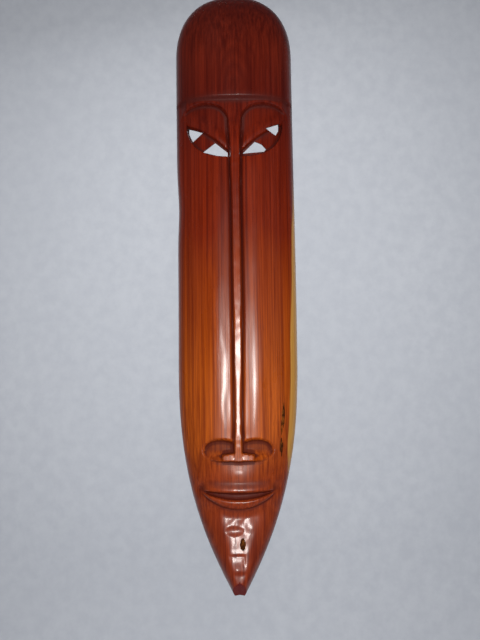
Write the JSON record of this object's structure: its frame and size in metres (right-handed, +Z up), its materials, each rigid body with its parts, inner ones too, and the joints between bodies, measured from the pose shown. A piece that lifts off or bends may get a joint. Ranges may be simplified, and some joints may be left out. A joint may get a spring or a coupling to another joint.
{
  "type": "carved wooden wall mask",
  "caption": "Long narrow hardwood wall mask with pierced slanting eyes, a thin ridge nose and a pointed chin, hollowed behind and hung from a swinging D-ring.",
  "frame": {"origin": "the point of the wall plane level with where the ring bears on the wall hook, on the mask's centre line", "axes": "+Z up the face toward the dome, -Y out of the wall along the way the face looks, +X to the viewer's right; the mask's flat back lies on the plane Y = 0"},
  "size_m": [0.118, 0.0484, 0.5997],
  "materials": {
    "varnished_wood": "gloss varnish",
    "strap_steel": "dull zinc plating",
    "ring_steel": "polished nickel plating",
    "screw_brass": "bright brass plating"
  },
  "bodies": {
    "carving": {"mask_body": "varnished_wood", "hanger_strap": "strap_steel", "hanger_screws": "screw_brass"},
    "ring": {"hanger_ring": "ring_steel"}
  },
  "joints": [
    {"name": "ring_swing", "type": "hinge", "parent": "carving", "child": "ring", "pos_m": [0, -0.0114, -0.01436], "axis": [-1, 0, 0], "range_deg": [-26, 150]}
  ]
}
